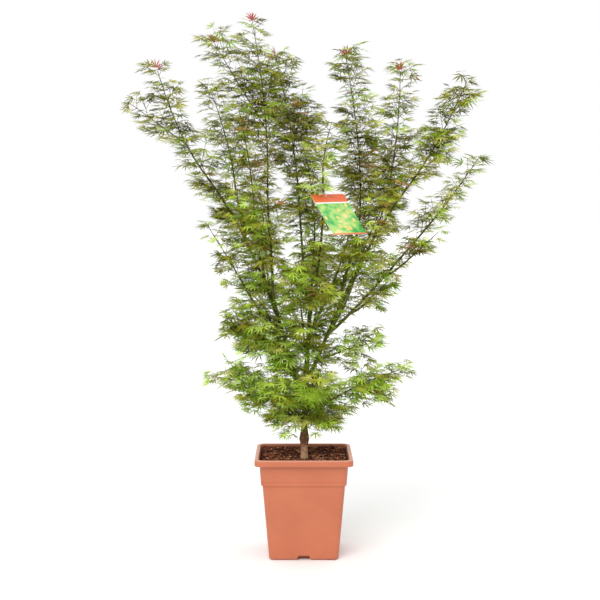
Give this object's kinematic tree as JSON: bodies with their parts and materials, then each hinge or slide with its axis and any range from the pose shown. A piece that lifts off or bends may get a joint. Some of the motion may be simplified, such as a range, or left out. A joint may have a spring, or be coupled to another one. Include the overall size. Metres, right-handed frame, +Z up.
{
  "type": "potted japanese maple",
  "caption": "Young japanese maple with a short grafted trunk, fanned upright limbs and open foliage of lobed leaves, in a square plastic nursery pot.",
  "frame": {"origin": "middle of the pot's flat underside", "axes": "+Z up, +X to the right and +Y away in the front view, whose side carries the hanging card"},
  "size_m": [1.1643, 0.808, 1.6725],
  "materials": {
    "pot": "satin moulded plastic, terracotta coloured",
    "soil": "coarse bark compost",
    "bark": "thin grey-brown bark, rough at the graft",
    "green_stem": "smooth green young bark",
    "upper_leaves": "olive green, bronze and orange brown leaves",
    "lower_leaves": "fresh green leaves",
    "card": null,
    "tie": "pale moulded plastic"
  },
  "bodies": {
    "root": {"pot": "pot", "soil": "soil", "trunk": "bark", "left_leader": "green_stem", "centre_leader": "green_stem", "right_leader": "green_stem", "far_right_leader": "green_stem", "top_leader": "green_stem", "top_right_leader": "green_stem", "upper_left_limb": "green_stem", "front_left_limb": "green_stem", "centre_right_leader": "green_stem", "right_spire_limb": "green_stem", "front_centre_limb": "green_stem", "small_left_limb": "green_stem", "middle_left_limb": "green_stem", "low_left_limb": "green_stem", "bottom_left_limb": "green_stem", "bottom_right_limb": "green_stem", "low_right_limb": "green_stem", "outer_right_limb": "green_stem", "middle_right_limb": "green_stem", "front_middle_limb": "green_stem", "back_middle_limb": "green_stem", "back_left_limb": "green_stem", "back_right_limb": "green_stem", "front_upper_limb": "green_stem", "front_right_limb": "green_stem", "foliage_skirt_left": "lower_leaves", "foliage_skirt_right": "lower_leaves", "foliage_skirt_front": "lower_leaves", "foliage_skirt_back": "lower_leaves", "foliage_skirt_rear": "lower_leaves", "foliage_left": "upper_leaves", "foliage_centre": "upper_leaves", "foliage_right": "upper_leaves", "foliage_far_right": "upper_leaves", "foliage_top": "upper_leaves", "foliage_top_right": "upper_leaves", "foliage_upper_left": "upper_leaves", "foliage_front_left": "upper_leaves", "foliage_centre_right": "upper_leaves", "foliage_right_spire": "upper_leaves", "foliage_front_centre": "upper_leaves", "foliage_small_left": "upper_leaves", "foliage_middle_left": "lower_leaves", "foliage_low_left": "lower_leaves", "foliage_bottom_left": "lower_leaves", "foliage_bottom_right": "lower_leaves", "foliage_low_right": "lower_leaves", "foliage_outer_right": "upper_leaves", "foliage_middle_right": "lower_leaves", "foliage_front_middle": "lower_leaves", "foliage_back_middle": "lower_leaves", "foliage_back_left": "upper_leaves", "foliage_back_right": "upper_leaves", "foliage_front_upper": "upper_leaves", "foliage_front_right": "upper_leaves", "hanging_card": "card", "card_tie": "tie"}
  },
  "joints": []
}
